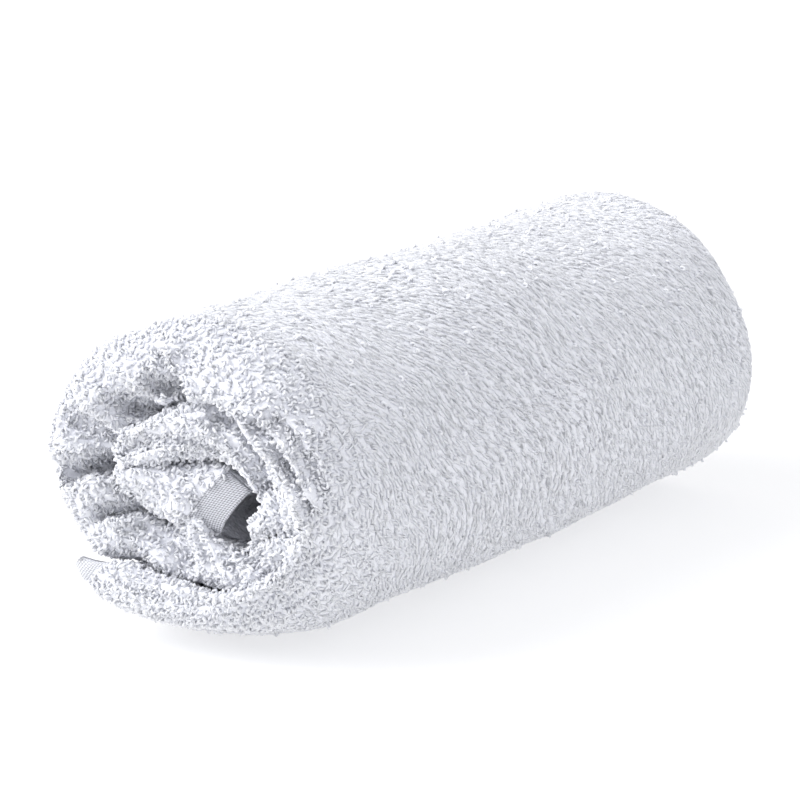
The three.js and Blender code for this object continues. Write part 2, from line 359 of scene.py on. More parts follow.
@dataclass(frozen=True)
class RollForm:
    """The roll's own sizes, and the places they give to points of the band.

    The flares widen the roll towards its far end. near_lean and far_lean tilt the two ends: how far
    an end comes along Y at one radius to the right, and at one radius up. far_evening divides the
    insets at the far end, which is flatter. Near both ends the roll tapers over taper_length: it
    narrows, and its underside and top rise by the lifts. pinch closes the turn round the core in on
    it, round an angle and a share of the roll's length.
    """

    length: float = 232.0
    axis_height: float = 46.5
    top: float = 93.0
    edge_depth: float = 7.5
    box_middle: tuple[float, float] = (0.2, 1.06)
    far_flare_x: float = 1.058
    far_flare_z: float = 1.04
    near_lean: tuple[float, float] = (4.3, 1.9)
    far_lean: tuple[float, float] = (0.6, -6.0)
    far_evening: float = 3.0
    taper_length: float = 42.0
    narrowing: float = 0.055
    underside_lift: float = 13.5
    top_lift: float = 3.5
    far_lift: float = 2.0
    pinch: float = 9.0
    pinch_angle: float = 700.0
    pinch_turn: float = 40.0
    pinch_share: float = 0.5
    pinch_reach: float = 0.2

    def winding_at(self, places: np.ndarray) -> np.ndarray:
        """The winding table read by a smooth curve.

        Args:
            places: rows of the table, whole or between two rows.

        Returns:
            One row of the table's columns for each place.
        """
        table = np.array(WINDING, float)
        last = len(table) - 1
        index = np.clip(places.astype(int), 0, last - 1)
        t = (places - index)[:, None]
        before = table[np.maximum(index - 1, 0)]
        here = table[index]
        following = table[index + 1]
        after = table[np.minimum(index + 2, last)]
        slope_here = (following - before) / 2
        slope_next = (after - here) / 2
        rise = following - here
        cubic = slope_here + slope_next - 2 * rise
        return here + t * (slope_here + t * (3 * rise - 2 * slope_here - slope_next + t * cubic))

    def crumple_reach(self, angle: np.ndarray, depth: np.ndarray) -> np.ndarray:
        """How far the crumples open the band's inside, at angles and depths."""
        fade = bell(depth / CRUMPLE_LENGTH)
        return sum(c.reach * fade * bell((angle - c.inner_angle) / c.width) for c in CRUMPLES)

    def crumple_depth(self, angle: np.ndarray, through: np.ndarray) -> np.ndarray:
        """How far the crumples sink the near edge back.

        Args:
            angle: places along the band, as their angles in the winding.
            through: places in its thickness, from -1 inside to 1 outside.

        Returns:
            A depth for each place.
        """
        share = (through + 1) / 2
        total = np.zeros(np.broadcast(angle, through).shape)
        for c in CRUMPLES:
            middle = c.inner_angle + (c.outer_angle - c.inner_angle) * share
            sink = c.inner_depth + (c.outer_depth - c.inner_depth) * share
            total += sink * bell((angle - middle) / c.width)
        return total

    def fold_depth(self, x: np.ndarray, z: np.ndarray) -> np.ndarray:
        """How far the end's folds sink the surface.

        Args:
            x: places in the end's plane, to the right of the roll's axis.
            z: the same places, above the axis.

        Returns:
            A depth for each place.
        """
        spot = np.stack([x, z], axis=-1)
        total = np.zeros(x.shape)
        for fold in FOLDS:
            line = np.array(fold.line, float)
            nearest = np.full(x.shape, np.inf)
            for start, end in zip(line[:-1], line[1:]):
                step = end - start
                share = np.clip(((spot - start) @ step) / (step @ step), 0, 1)
                away = np.linalg.norm(spot - start - share[..., None] * step, axis=-1)
                nearest = np.minimum(nearest, away)
            total += fold.depth * bell(nearest / fold.width)
        return total

    def dent_height(self, angle: np.ndarray, share: np.ndarray) -> np.ndarray:
        """Height of the soft dents and swells of the roll's outside.

        Args:
            angle: places along the band, as their angles in the winding.
            share: their shares of the roll's length.

        Returns:
            A height for each place, 0 past the outer turn.
        """
        turn = np.radians(angle)
        total = np.zeros(np.broadcast(angle, share).shape)
        for d in DENTS:
            total += d.height * np.sin(d.around * turn + 2 * math.pi * d.along * share + d.phase)
        for s in SWELLS:
            away = (angle - s.angle + FULL_TURN / 2) % FULL_TURN - FULL_TURN / 2
            total += s.height * bell(away / s.turn, (share - s.share) / s.reach)
        return np.where(angle < WINDING[0].angle + FULL_TURN, total, 0)

    def pinch_depth(self, angle: np.ndarray, share: np.ndarray) -> np.ndarray:
        """How far the turn round the core closes in on it, halfway along the roll."""
        away = (angle - self.pinch_angle) / self.pinch_turn
        return self.pinch * bell(away, (share - self.pinch_share) / self.pinch_reach)

    def share_of(self, depth: np.ndarray) -> np.ndarray:
        """Share of the roll's length at a depth from the near end, without the round edges."""
        return np.clip((depth - self.edge_depth) / (self.length - 2 * self.edge_depth), 0, 1)

    def place(self, x: np.ndarray, z: np.ndarray, inset: np.ndarray, depth: np.ndarray) -> np.ndarray:
        """Points of the roll.

        Args:
            x: distance from the roll's axis to the right.
            z: distance above the axis.
            inset: how far the band's edge lies behind the end's plane.
            depth: distance behind the band's near edge.

        Returns:
            The points, with X, Y and Z in the last dimension.
        """
        share = self.share_of(depth)
        flare_x = 1 + (self.far_flare_x - 1) * share
        flare_z = 1 + (self.far_flare_z - 1) * share
        across_x = x / self.axis_height
        across_z = z / self.axis_height
        near = -self.length / 2 + self.near_lean[0] * across_x + self.near_lean[1] * across_z + inset
        far = self.length / 2 + self.far_lean[0] * across_x + self.far_lean[1] * across_z
        far = far + inset / self.far_evening
        y = near + (far - near) * share + depth - share * self.length
        height = np.maximum((self.axis_height + z) * flare_z, 0)
        taper = np.maximum(1 - depth / self.taper_length, 0) ** 2
        lift = self.underside_lift + (self.top_lift - self.underside_lift) * height / self.top
        far_taper = np.maximum(1 - (self.length - depth) / self.taper_length, 0) ** 2
        height = height + lift * taper + self.far_lift * far_taper
        return np.stack([x * flare_x * (1 - self.narrowing * taper), y, height], axis=-1)


@dataclass
class TerryBand:
    """The folded band, wound up: its cloth under the pile, with plain hems at both ends.

    Its surface has rows of points along the band, step_along apart, and columns across it. A column's
    points are step_across apart near the ends, up to fine_reach, and widest_step halfway. The inner
    end is a rolled hem with a wall round a hollow, and the loose end shows its layers, whose relief
    is full where the band is at least full_layers thick. Each layer reads its waves layer_apart from
    the last, and heading_rows give the direction in which that end points. The cloth lies pile_room
    under the solid's face, or hem_room where it is hem, and never under floor_room.

    The last fields are filled in when it is built: points and normals of the surface, each row of the
    winding, each point's depth behind the near edge, each column's part, and the band's whole run.
    """

    form: RollForm = field(default_factory=RollForm)
    step_along: float = 1.6
    fine_places: int = 4000
    step_across: float = 2.0
    widest_step: float = 4.2
    fine_reach: float = 40.0
    edge_points: int = 14
    groove_width: float = 0.16
    fade_length: float = 26.0
    far_edge: float = 7.5
    far_groove: float = 2.5
    end_reach: float = 12.0
    far_closing: float = 3.0
    wall: float = 1.8
    most_shrink: float = 0.8
    tip_turns: tuple[float, ...] = (30, 60, 90, 120, 150, 180)
    hollow_steps: tuple[float, ...] = (2.5, 5.5, 9.0, 13.0)
    hollow_narrowing: float = 0.04
    loose_round: float = 1.2
    loose_turns: tuple[float, ...] = (30, 60, 90)
    layers: int = 4
    layer_points: int = 7
    layer_relief: float = 1.7
    layer_roundness: float = 0.6
    layer_groove: float = 0.3
    layer_waves: Rumple = Rumple(0.9, 45, 13)
    layer_apart: float = 60.0
    full_layers: float = 8.0
    heading_rows: int = 3
    gentle: Rumple = Rumple(0.35, 34, 11)
    crumpled: Rumple = Rumple(0.75, 15, 12)
    crumpled_reach: float = 26.0
    pile_room: float = 1.2
    hem_room: float = 0.8
    hem_evenness: float = 0.7
    floor_room: float = 0.25
    loose_hem: float = 7.0
    inner_hem: float = 10.0
    points: np.ndarray = field(init=False, repr=False)
    normals: np.ndarray = field(init=False, repr=False)
    turns: np.ndarray = field(init=False, repr=False)
    depth: np.ndarray = field(init=False, repr=False)
    part: np.ndarray = field(init=False, repr=False)
    run: float = field(init=False, repr=False)

    @property
    def loose_rows(self) -> int:
        """How many rows round off the loose end."""
        return len(self.loose_turns)

    @property
    def inner_rows(self) -> int:
        """How many rows the inner end's rolled hem and its hollow have."""
        return len(self.tip_turns) + len(self.hollow_steps)

    def face_depths(self) -> np.ndarray:
        """Where a face has points, closer together near both ends.

        Returns:
            Depths behind the near edge.
        """
        length, edge = self.form.length, self.form.edge_depth
        last = length - edge - self.step_across
        found = [edge + self.step_across]
        while found[-1] < last - self.step_across / 2:
            here = found[-1]
            spare = min(here, length - here) - self.fine_reach
            share = min(max(spare / self.fine_reach, 0), 1)
            found.append(here + self.step_across + (self.widest_step - self.step_across) * share)
        found[-1] = last
        return np.array(found)

    def outline(self, turns: np.ndarray) -> tuple[np.ndarray, np.ndarray, np.ndarray]:
        """The closed line across the band at each place along it.

        Args:
            turns: rows of the winding, one for each place.

        Returns:
            Places through the thickness from -1 inside to 1 outside, depths behind the near edge and
            the part of each point, as rows for the places and columns for the points.
        """
        front, groove = column(turns, "front"), column(turns, "groove")
        round_out, round_in = column(turns, "round_out"), column(turns, "round_in")
        turn = np.linspace(0, math.pi / 2, self.edge_points)
        inner = front - (1 + front) * np.cos(turn)
        outer = front + (1 - front) * np.cos(turn[::-1])
        sunk = 1 - np.sin(turn)
        near_through = np.concatenate([inner, outer[:, 1:]], axis=1)
        near = np.concatenate([round_in * sunk, (round_out * sunk[::-1])[:, 1:]], axis=1)
        near = near + groove * bell(near_through / self.groove_width)
        ridge = np.concatenate([-np.cos(turn), np.cos(turn[::-1])[1:]])
        rise = np.concatenate([sunk, sunk[::-1][1:]])
        far = self.far_edge * rise + self.far_groove * bell(ridge / self.groove_width)
        faces = self.face_depths()
        fade = np.exp(-(faces - self.form.edge_depth) / self.fade_length)
        outside = faces + (round_out - self.form.edge_depth) * fade
        inside = faces + (round_in - self.form.edge_depth) * fade
        rows = len(turns)
        ones = np.ones((rows, len(faces)))
        through = np.concatenate([near_through, ones, np.tile(ridge[::-1], (rows, 1)), -ones], axis=1)
        far_depth = np.tile(self.form.length - far[::-1], (rows, 1))
        depth = np.concatenate([near, outside, far_depth, inside[:, ::-1]], axis=1)
        counts = [len(rise), len(faces), len(rise), len(faces)]
        part = np.repeat([p.value for p in Part], counts)
        return through, depth, part

    def places_along(self) -> np.ndarray:
        """Even steps along the band, whose run it measures too.

        Returns:
            Rows of the winding table, whole or between two rows.
        """
        fine = np.linspace(0, len(WINDING) - 1, self.fine_places)
        turns = self.form.winding_at(fine)
        radius = column(turns, "outer") - column(turns, "thick") / 2
        turn = np.radians(column(turns, "angle"))
        x = column(turns, "x") + radius * np.cos(turn)
        z = column(turns, "z") + radius * np.sin(turn)
        steps = np.linalg.norm(np.diff(np.concatenate([x, z], axis=1), axis=0), axis=1)
        run = np.concatenate([[0], np.cumsum(steps)])
        self.run = run[-1]
        count = int(self.run / self.step_along)
        return np.interp(np.linspace(0, self.run, count + 1), run, fine)

    def inner_tip(self) -> tuple[np.ndarray, np.ndarray]:
        """The band's inner end: a rolled hem round a hollow, as the folded cloth stands a little open.

        Returns:
            How far each row lies inside the band's outline, and how far it lies past its end.
        """
        turn = np.radians(self.tip_turns)
        steps = np.array(self.hollow_steps)
        walls = self.wall + self.hollow_narrowing * steps
        shrink = np.concatenate([self.wall / 2 * (1 - np.cos(turn)), walls])
        return shrink, np.concatenate([self.wall / 2 * np.sin(turn), -steps])

    def loose_tip(self) -> tuple[np.ndarray, np.ndarray]:
        """The round edge of the band's loose end, as the same two values for each row."""
        turn = np.radians(self.loose_turns)
        return self.loose_round * (1 - np.cos(turn)), self.loose_round * np.sin(turn)

    def surface(self) -> np.ndarray:
        """The solid's surface, read as rows along the band and columns across it.

        Returns:
            Its points, with X, Y and Z last.
        """
        form = self.form
        turns = form.winding_at(self.places_along())
        loose_shrink, loose_ahead = self.loose_tip()
        inner_shrink, inner_ahead = self.inner_tip()
        plain = np.zeros(len(turns))
        first = np.tile(turns[0], (self.loose_rows, 1))
        last = np.tile(turns[-1], (self.inner_rows, 1))
        turns = np.concatenate([first, turns, last])
        shrink = np.concatenate([loose_shrink[::-1], plain, inner_shrink])[:, None]
        ahead = np.concatenate([-loose_ahead[::-1], plain, inner_ahead])[:, None]
        across, depth, self.part = self.outline(turns)
        angle = column(turns, "angle")
        depth = depth + form.crumple_depth(angle, across) * bell(depth / SINK_LENGTH)
        near_fade = bell(depth / self.end_reach)
        far_fade = bell((form.length - depth) / self.end_reach)
        depth = depth + shrink * (near_fade - self.far_closing * far_fade)
        share = form.share_of(depth)
        inner = column(turns, "outer") - column(turns, "thick")
        inner = inner + form.crumple_reach(angle, depth) - form.pinch_depth(angle, share)
        outer = column(turns, "outer") + form.dent_height(angle, share)
        middle, half = (outer + inner) / 2, (outer - inner) / 2
        radius = middle + (half - np.minimum(shrink, self.most_shrink * half)) * across
        turn = np.radians(angle)
        x = column(turns, "x") + radius * np.cos(turn) - ahead * np.sin(turn)
        z = column(turns, "z") + radius * np.sin(turn) + ahead * np.cos(turn)
        depth = depth + form.fold_depth(x, z) * bell(depth / FOLD_LENGTH)
        self.turns, self.depth = turns, depth
        return form.place(x, z, column(turns, "inset"), depth)

    def hem_share(self) -> np.ndarray:
        """How much of each row is plain hem.

        Returns:
            0 for a row on the terry and 1 for one on the hem.
        """
        run = np.linspace(0, self.run, len(self.turns) - self.loose_rows - self.inner_rows)
        within = np.maximum(self.loose_hem - run, self.inner_hem - (self.run - run))
        share = np.clip(within / self.step_along, 0, 1)
        return np.concatenate([np.ones(self.loose_rows), share, np.ones(self.inner_rows)])

    def rumples(self, points: np.ndarray) -> np.ndarray:
        """Height of the soft unevenness of the cloth, most of it near the end that shows."""
        near = bell(self.depth / self.crumpled_reach)
        return self.gentle.at(points) + self.crumpled.at(points) * near

    def row_finishes(self, hem: np.ndarray) -> np.ndarray:
        """The finish of the faces between each row and the next.

        Args:
            hem: how much of each row is plain hem.

        Returns:
            One of the band's finishes for each, with the terry's ground in the hollow.
        """
        rows = len(hem)
        loose = np.arange(rows - 1) < rows // 2
        hems = np.where(loose, BandFinish.LOOSE_HEM, BandFinish.SHADED_INNER_HEM)
        finishes = np.where(hem[:-1] + hem[1:] > 1, hems, BandFinish.GROUND)
        finishes[-len(self.hollow_steps) :] = BandFinish.GROUND
        return finishes

    def build(self) -> bpy.types.Object:
        """The band's mesh, each face set to the material slot of its finish, whose materials dress adds.

        Returns:
            The new object, at the origin.
        """
        solid = self.surface() - (*self.form.box_middle, 0)
        hem = self.hem_share()
        room = self.pile_room + (self.hem_room - self.pile_room) * hem
        evenness = 1 - self.hem_evenness * hem
        height = self.rumples(solid) * evenness[:, None] - room[:, None]
        points = solid + normals_of(solid) * height[..., None]
        points[..., 2] = np.maximum(points[..., 2], self.floor_room)
        self.points, self.normals = points, normals_of(points)
        rows, columns = points.shape[:2]
        index = np.arange(rows * columns).reshape(rows, columns)
        end_points, end_faces = self.layered_end(index[0], rows * columns)
        hollow_faces = self.closed_end(index[-1])
        vertices = np.concatenate([points.reshape(-1, 3), end_points.reshape(-1, 3)])
        faces = [tuple(quad) for quad in tube_quads(index)] + end_faces + hollow_faces
        mesh = bpy.data.meshes.new("towel_band")
        mesh.from_pydata((vertices * MM).tolist(), [], faces)
        finishes = np.repeat(self.row_finishes(hem), columns).tolist()
        finishes += [BandFinish.LOOSE_HEM] * len(end_faces)
        finishes += [BandFinish.GROUND] * len(hollow_faces)
        mesh.polygons.foreach_set("material_index", np.array(finishes, int))
        mesh.polygons.foreach_set("use_smooth", np.ones(len(mesh.polygons), bool))
        self.write_uv(mesh, end_points)
        mesh.validate()
        mesh.update()
        band = bpy.data.objects.new("towel_band", mesh)
        bpy.context.scene.collection.objects.link(band)
        return band

    def dress(self, band: bpy.types.Object) -> None:
        """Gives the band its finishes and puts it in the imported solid's place."""
        # The inner hem gets the woven hem darkened with painted shade, the loose end the pale one in the
        # cloth's own white.
        for finish in (TerryGround(), WovenHem(), PALE_HEM):
            band.data.materials.append(finish.material())
        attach(band, BODY)
        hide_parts(CAD_NODE)

    def across_pairs(self, row: np.ndarray) -> tuple[np.ndarray, np.ndarray]:
        """Pairs of an outline's points that lie across from each other.

        Args:
            row: the outline's points.

        Returns:
            The points of its outside, from the near edge to the far one, and those of its inside.
        """
        count = len(row)
        start = self.edge_points - 1
        step = np.arange(count // 2 + 1)
        return row[(start + step) % count], row[(start - step) % count]

    def closed_end(self, row: np.ndarray) -> list[tuple[int, ...]]:
        """Closes the hollow at the band's inner end, in its depth.

        Args:
            row: the last outline's points, as numbers of vertices.

        Returns:
            The faces.
        """
        outer, inner = self.across_pairs(row)
        faces = []
        for near, far in zip(range(len(outer) - 1), range(1, len(outer))):
            face = [outer[near], outer[far], inner[far], inner[near]]
            faces.append(tuple(int(v) for i, v in enumerate(face) if v != face[i - 1]))
        return faces

    def layered_end(self, row: np.ndarray, first: int) -> tuple[np.ndarray, list[tuple[int, ...]]]:
        """The face of the loose end, where the hems of the folded layers lie on each other.

        Args:
            row: the outline's points at that end, as numbers of vertices.
            first: the number that the first new vertex gets.

        Returns:
            The new points, as rows for the places across the band and columns from its outside to
            its inside, and the faces.
        """
        flat = self.points.reshape(-1, 3)
        outer, inner = self.across_pairs(row)
        one_row = self.points.shape[1]
        start = outer + self.loose_rows * one_row
        ahead = unit(flat[start] - flat[start + self.heading_rows * one_row])
        count = self.layers * self.layer_points
        share = np.arange(1, count)[None, :] / count
        layer = np.floor(share * self.layers)
        thick = np.linalg.norm(flat[outer] - flat[inner], axis=1)[:, None]
        room = np.minimum(thick / self.full_layers, 1)
        across = flat[outer][:, 1, None]
        places = np.stack(np.broadcast_arrays(self.layer_apart * layer, across, 0), axis=-1)
        relief = np.abs(np.sin(math.pi * self.layers * share)) ** self.layer_roundness
        relief = self.layer_relief * relief
        relief = room * (relief + self.layer_waves.at(places) * (relief > self.layer_groove))
        points = flat[outer][:, None] * (1 - share[..., None]) + flat[inner][:, None] * share[..., None]
        points = (points + ahead[:, None] * relief[..., None])[1:-1]
        points[..., 2] = np.maximum(points[..., 2], self.floor_room)
        new = first + np.arange(points[..., 0].size).reshape(points.shape[:2])
        net = np.concatenate([outer[1:-1, None], new, inner[1:-1, None]], axis=1)
        quads = np.stack([net[:-1, :-1], net[:-1, 1:], net[1:, 1:], net[1:, :-1]], axis=-1)
        faces = [tuple(int(v) for v in quad) for quad in quads.reshape(-1, 4)]
        faces += [(int(outer[0]), int(b), int(a)) for a, b in zip(net[0, :-1], net[0, 1:])]
        faces += [(int(outer[-1]), int(a), int(b)) for a, b in zip(net[-1, :-1], net[-1, 1:])]
        return points, faces

    def write_uv(self, mesh: bpy.types.Mesh, end_points: np.ndarray) -> None:
        """Gives the mesh a UV map of real lengths in metres: along the band, and across it.

        Args:
            mesh: the band's.
            end_points: the points of the loose end's face.
        """
        rows, columns = self.points.shape[:2]
        front = self.edge_points - 1
        points = np.roll(self.points, -front, axis=1)
        steps = np.linalg.norm(np.roll(points, -1, axis=1) - points, axis=2)
        run = np.cumsum(steps, axis=1)
        behind = np.arange(columns) > columns // 2
        across = np.where(behind, run - run[:, -1:], run) - steps
        across = np.roll(across, front, axis=1)
        steps = np.linalg.norm(np.diff(self.points, axis=0), axis=2)
        run = np.concatenate([np.zeros((1, columns)), np.cumsum(steps, axis=0)])
        far_half = (np.arange(rows) > rows // 2)[:, None]
        along = np.where(far_half, run - run[-1:], run)
        grid = np.stack([along, across], axis=-1).reshape(-1, 2)
        steps = np.linalg.norm(np.diff(end_points, axis=1, prepend=end_points[:, :1]), axis=2)
        end_grid = np.stack([-np.cumsum(steps, axis=1), end_points[..., 1]], axis=-1).reshape(-1, 2)
        places = np.concatenate([grid, end_grid]) * MM
        corners_at = np.zeros(len(mesh.loops), int)
        mesh.loops.foreach_get("vertex_index", corners_at)
        layer = mesh.uv_layers.new(name=CLOTH_UV)
        layer.uv.foreach_set("vector", places[corners_at].astype(np.float32).ravel())


class Roots(NamedTuple):
    """Where loops stand: each one's place, the cloth's normal, its lay, and its depth in the roll."""

    root: np.ndarray
    normal: np.ndarray
    lay: np.ndarray
    depth: np.ndarray


def drawn(limits: tuple[float, float], count: int, rng: np.random.Generator) -> np.ndarray:
    """A column of random numbers between two limits."""
    return rng.uniform(*limits, count)[:, None]


@dataclass
class TerryPile:
    """The pile: loops of twisted cotton yarn that stand in rows on the cloth and lean one way.

    One loop stands on each loop_area of cloth, if its root sees more of the surroundings than hidden
    says for the near end and for the rest. Near the end that shows most are rings that stand open,
    from fewest_rings to most_rings more, and elsewhere strands brushed flat. Strands lie calmer on
    the roll's top and towards its far end. ring_places says where a ring's yarn passes, as shares of
    its length upwards and of half its gap sideways, and strand_places as shares of a strand's span.
    What a root sees is tried by rays, from ray_start over the cloth and as far as sight.
    """

    band: TerryBand
    loop_area: float = 2.7
    scatter: float = 0.3
    last_root: float = 1.001
    rooted: float = 0.5
    lowest: float = 0.05
    rays: int = 16
    ray_every: int = 2
    ray_start: float = 0.9
    ray_rise: float = 1.05
    sight: float = 45.0
    hidden: tuple[float, float] = (0.05, 0.1)
    near_reach: float = 26.0
    lean: float = 50.0
    lean_waves: Rumple = Rumple(13, 45, 21)
    lean_scatter: float = 11.0
    loose_lean: float = 0.9
    loose_reach: float = 28.0
    fewest_rings: float = 0.03
    most_rings: float = 0.87
    outside_reach: float = 12.0
    inside_reach: float = 33.6
    ring_length: tuple[float, float] = (1.1, 1.6)
    ring_lift: tuple[float, float] = (15.0, 60.0)
    ring_twist: tuple[float, float] = (-1.5, 1.5)
    half_gap: tuple[float, float] = (0.45, 0.7)
    ring_places: tuple[tuple[float, float], ...] = (
        (0, 0.5), (0.45, 1), (0.92, 0.6), (1, -0.5), (0.5, -1), (0, -0.5)
    )
    yarn: float = 0.5
    span: tuple[float, float] = (2.8, 4.6)
    near_span: float = 0.72
    height: tuple[float, float] = (0.12, 0.42)
    strand_tilt: tuple[float, float] = (-0.7, 0.7)
    strand_ahead: tuple[float, float] = (-0.1, 0.4)
    strand_drop: tuple[float, float] = (0.6, 1.0)
    strand_places: tuple[float, float, float, float] = (-0.5, -0.25, 0.28, 0.55)
    top_calm: float = 0.8
    top_focus: int = 3
    far_calm: float = 0.6
    flat_yarn: float = 0.42
    yarn_spread: tuple[float, float] = (0.85, 1.2)
    yarn_sides: int = 3
    most_in_piece: int = 6000
    ray_seed: int = 5
    root_seed: int = 5
    lay_seed: int = 6
    shape_seed: int = 7

    def openness(self) -> np.ndarray:
        """How much of the surroundings each point of the band's surface sees.

        Returns:
            Shares from 0 to 1, in rows and columns of its points.
        """
        points, normals = self.band.points, self.band.normals
        rows, columns = points.shape[:2]
        index = np.arange(rows * columns).reshape(rows, columns)
        tree = BVHTree.FromPolygons(points.reshape(-1, 3).tolist(), tube_quads(index).tolist())
        ways = unit(np.random.default_rng(self.ray_seed).normal(size=(self.rays, 3)))
        every = self.ray_every
        normals, starts = normals[::every, ::every], points[::every, ::every]
        seen = np.zeros(normals.shape[:2])
        for row, place in np.ndindex(seen.shape):
            normal = normals[row, place]
            start = Vector(starts[row, place] + normal * self.ray_start)
            for way in ways:
                out = Vector(way + normal * self.ray_rise)
                if tree.ray_cast(start, out, self.sight)[0] is None:
                    seen[row, place] += 1 / self.rays
        return np.repeat(np.repeat(seen, every, axis=0), every, axis=1)[:rows, :columns]

    def roots(self) -> tuple[np.ndarray, np.ndarray]:
        """Where the loops stand: in rows, as many in each face of the cloth as its area takes.

        Returns:
            Places along and across the band, in rows and columns of its points.
        """
        points = self.band.points
        rng = np.random.default_rng(self.root_seed)
        along_edge = points[1:] - points[:-1]
        across_edge = (np.roll(points, -1, axis=1) - points)[:-1]
        area = np.linalg.norm(np.cross(along_edge, across_edge), axis=-1)
        lengthwise = np.linalg.norm(across_edge, axis=-1) > np.linalg.norm(along_edge, axis=-1)
        wanted = np.cumsum(area / self.loop_area, axis=1)
        offset = rng.uniform(0, 1, (len(area), 1))
        filled = np.floor(np.concatenate([np.zeros((len(area), 1)), wanted], axis=1) + offset)
        counts = np.diff(filled, axis=1).astype(int)
        rows, columns = np.nonzero(counts)
        many = counts[rows, columns]
        rows, columns = np.repeat(rows, many), np.repeat(columns, many)
        order = np.arange(len(rows)) - np.repeat(np.cumsum(many) - many, many)
        share = (order + 0.5) / np.repeat(many, many)
        lengthwise = lengthwise[rows, columns]
        t = np.where(lengthwise, 0.5, share) + rng.uniform(-self.scatter, self.scatter, len(rows))
        u = np.where(lengthwise, share, 0.5) + rng.uniform(-self.scatter, self.scatter, len(rows))
        return np.clip(rows + t, 0, len(points) - self.last_root), columns + u

    def read(self, grid: np.ndarray, along: np.ndarray, across: np.ndarray) -> np.ndarray:
        """Reads a grid of the band's points on the triangles between them.

        Args:
            grid: a value or a vector for each point.
            along: places in rows of the grid.
            across: the same places in its columns, the last of which joins the first.

        Returns:
            A value or a vector for each place.
        """
        rows, columns = grid.shape[:2]
        low = np.clip(along.astype(int), 0, rows - 2)
        t = np.clip(along - low, 0, 1)
        left = np.floor(across).astype(int)
        s = across - left
        left, right = left % columns, (left + 1) % columns
        first = s >= t
        if grid.ndim == 3:
            t, s, first = t[:, None], s[:, None], first[:, None]
        here, opposite = grid[low, left], grid[low + 1, right]
        turn = np.where(first, grid[low, right], grid[low + 1, left])
        near, far = np.maximum(s, t), np.minimum(s, t)
        return here + (turn - here) * near + (opposite - turn) * far

    def lay(self, root: np.ndarray, normal: np.ndarray, depth: np.ndarray) -> np.ndarray:
        """The direction in which the loops lean: along the roll and downwards.

        Args:
            root: where they stand.
            normal: the cloth's normals there.
            depth: how far behind the near edge.

        Returns:
            A unit vector in the cloth's plane for each.
        """
        axis = np.array([0.0, 1.0, 0.0])
        round_way = unit(np.cross(normal, axis))
        rng = np.random.default_rng(self.lay_seed)
        scatter = self.lean_scatter * rng.normal(size=len(root))
        turn = np.radians(self.lean + self.lean_waves.at(root) + scatter)
        turn += bell(depth / self.loose_reach) * rng.normal(size=len(root)) * self.loose_lean
        way = np.cos(turn)[:, None] * axis - np.sin(turn)[:, None] * round_way
        way -= (way * normal).sum(axis=1, keepdims=True) * normal
        return unit(way)

    def build(self) -> list[bpy.types.Object]:
        """All the loops as joined meshes, a few thousand loops in each.

        Returns:
            The new objects, at the origin.
        """
        band = self.band
        seen = self.openness()
        columns = seen.shape[1]
        along, across = self.roots()
        depth = self.read(band.depth, along, across)
        hem = self.read(np.tile(band.hem_share()[:, None], (1, columns)), along, across)
        hidden = np.where(depth < self.near_reach, *self.hidden)
        kept = (self.read(seen, along, across) > hidden) & (hem < 0.5)
        along, across, depth = along[kept], across[kept], depth[kept]
        root = self.read(band.points, along, across)
        normal = unit(self.read(band.normals, along, across))
        lay = self.lay(root, normal, depth)
        outside = band.part[np.round(across).astype(int) % columns] == Part.OUTSIDE.value
        reach = np.where(outside, self.outside_reach, self.inside_reach)
        rng = np.random.default_rng(self.shape_seed)
        rings_share = self.fewest_rings + self.most_rings * bell(depth / reach)
        standing = rng.uniform(size=len(root)) < rings_share
        kinds = (
            ("loops", standing, self.standing, self.yarn),
            ("strands", ~standing, self.lying, self.flat_yarn),
        )
        made = []
        for kind, chosen, shape, yarn in kinds:
            roots = Roots(root[chosen], normal[chosen], lay[chosen], depth[chosen])
            line, flat = shape(roots, rng)
            LOG.info("%s: %d", kind, len(line))
            rings = self.rings(line, flat, yarn, rng)
            order = np.argsort(roots.root[:, 1], kind="stable")
            for number, start in enumerate(range(0, len(order), self.most_in_piece), 1):
                chunk = rings[order[start : start + self.most_in_piece]]
                made.append(self.mesh(f"terry_{kind}_{number}", chunk))
        return made

    def dress(self, pieces: list[bpy.types.Object]) -> None:
        """Gives the pieces of the pile their yarn, and puts them on the towel's body.

        Args:
            pieces: what build made.
        """
        yarn = TerryLoops().material()
        for piece in pieces:
            piece.data.materials.append(yarn)
            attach(piece, BODY)

    def lying(self, roots: Roots, rng: np.random.Generator) -> tuple[np.ndarray, np.ndarray]:
        """Loops brushed flat: low strands that rise from the cloth and enter it again.

        Args:
            roots: where they stand.
            rng: draws their sizes.

        Returns:
            Four places along each loop's yarn, and the normal of the plane that it lies in.
        """
        root, normal, lay, depth = roots
        count = len(root)
        tilt = drawn(self.strand_tilt, count, rng)
        up = np.cos(tilt) * normal + np.sin(tilt) * np.cross(normal, lay)
        near = bell(depth[:, None] / self.near_reach)
        facing_up = np.maximum(normal[:, 2:], 0) ** self.top_focus
        calm = 1 - self.top_calm * facing_up * (1 - near)
        calm = calm * (1 - self.far_calm * depth[:, None] / self.band.form.length)
        span = (1 + (self.near_span - 1) * near) * drawn(self.span, count, rng)
        height = calm * drawn(self.height, count, rng)
        ahead = drawn(self.strand_ahead, count, rng)
        drop = drawn(self.strand_drop, count, rng)
        sunk = root - normal * self.rooted
        start, rise, fall, end = self.strand_places
        line = [
            sunk + lay * span * start,
            root + lay * (span * rise + ahead) + up * height,
            root + lay * (span * fall + ahead) + up * height * drop,
            sunk + lay * span * end,
        ]
        return np.stack(line, axis=1), np.cross(lay, up)

